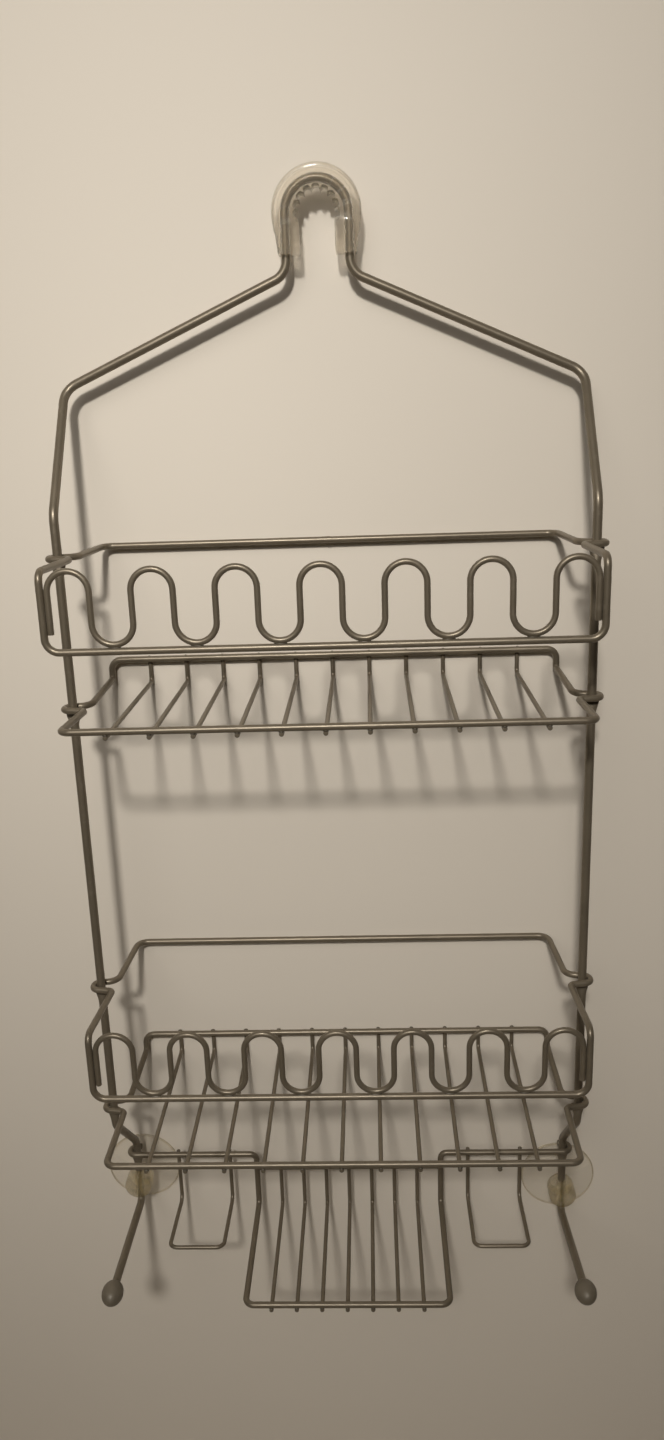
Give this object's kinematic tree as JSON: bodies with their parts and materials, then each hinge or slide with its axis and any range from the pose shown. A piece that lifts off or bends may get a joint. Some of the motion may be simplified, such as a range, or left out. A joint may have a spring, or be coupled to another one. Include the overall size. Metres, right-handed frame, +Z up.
{
  "type": "shower caddy",
  "caption": "Hanging shower caddy of bent coated wire: a scalloped neck grip, open shelves with wavy guards, a soap dish, hook loops and suction cups.",
  "frame": {"origin": "on the wall plane, where the centre line of the shower arm leaves the wall", "axes": "+Z up, +X to the right as seen from the front, +Y into the wall"},
  "size_m": [0.338, 0.1229, 0.6637],
  "materials": {
    "coated_wire": "satin nickel-coloured coating over steel wire",
    "clear_grip": "clear flexible vinyl",
    "suction_cup": "clear soft vinyl, slightly yellowed",
    "ball_cap": "satin plastic in the colour of the wire"
  },
  "bodies": {
    "caddy": {"frame_rod": "coated_wire", "upper_guard_rim": "coated_wire", "upper_guard_wave": "coated_wire", "upper_shelf_rim": "coated_wire", "upper_shelf_rib_01": "coated_wire", "upper_shelf_rib_02": "coated_wire", "upper_shelf_rib_03": "coated_wire", "upper_shelf_rib_04": "coated_wire", "upper_shelf_rib_05": "coated_wire", "upper_shelf_rib_06": "coated_wire", "upper_shelf_rib_07": "coated_wire", "upper_shelf_rib_08": "coated_wire", "upper_shelf_rib_09": "coated_wire", "upper_shelf_rib_10": "coated_wire", "upper_shelf_rib_11": "coated_wire", "lower_guard_rim": "coated_wire", "lower_guard_wave": "coated_wire", "lower_shelf_rim": "coated_wire", "lower_shelf_rib_01": "coated_wire", "lower_shelf_rib_02": "coated_wire", "lower_shelf_rib_03": "coated_wire", "lower_shelf_rib_04": "coated_wire", "lower_shelf_rib_05": "coated_wire", "lower_shelf_rib_06": "coated_wire", "lower_shelf_rib_07": "coated_wire", "lower_shelf_rib_08": "coated_wire", "lower_shelf_rib_09": "coated_wire", "lower_shelf_rib_10": "coated_wire", "lower_shelf_rib_11": "coated_wire", "soap_dish_rim": "coated_wire", "soap_dish_cross_wire": "coated_wire", "soap_dish_rib_1": "coated_wire", "soap_dish_rib_2": "coated_wire", "soap_dish_rib_3": "coated_wire", "soap_dish_rib_4": "coated_wire", "soap_dish_rib_5": "coated_wire", "soap_dish_rib_6": "coated_wire", "soap_dish_rib_7": "coated_wire", "left_hook_loop": "coated_wire", "right_hook_loop": "coated_wire", "neck_grip": "clear_grip", "left_ball_cap": "ball_cap", "right_ball_cap": "ball_cap"},
    "left_cup": {"left_suction_cup": "suction_cup"},
    "right_cup": {"right_suction_cup": "suction_cup"}
  },
  "joints": [
    {"name": "left_cup_swivel", "type": "hinge", "parent": "caddy", "child": "left_cup", "pos_m": [-0.144, -0.016, -0.6055], "axis": [0, 0, 1], "range_deg": [-25, 60]},
    {"name": "right_cup_swivel", "type": "hinge", "parent": "caddy", "child": "right_cup", "pos_m": [0.144, -0.016, -0.6155], "axis": [0, 0, 1], "range_deg": [-60, 25]}
  ]
}
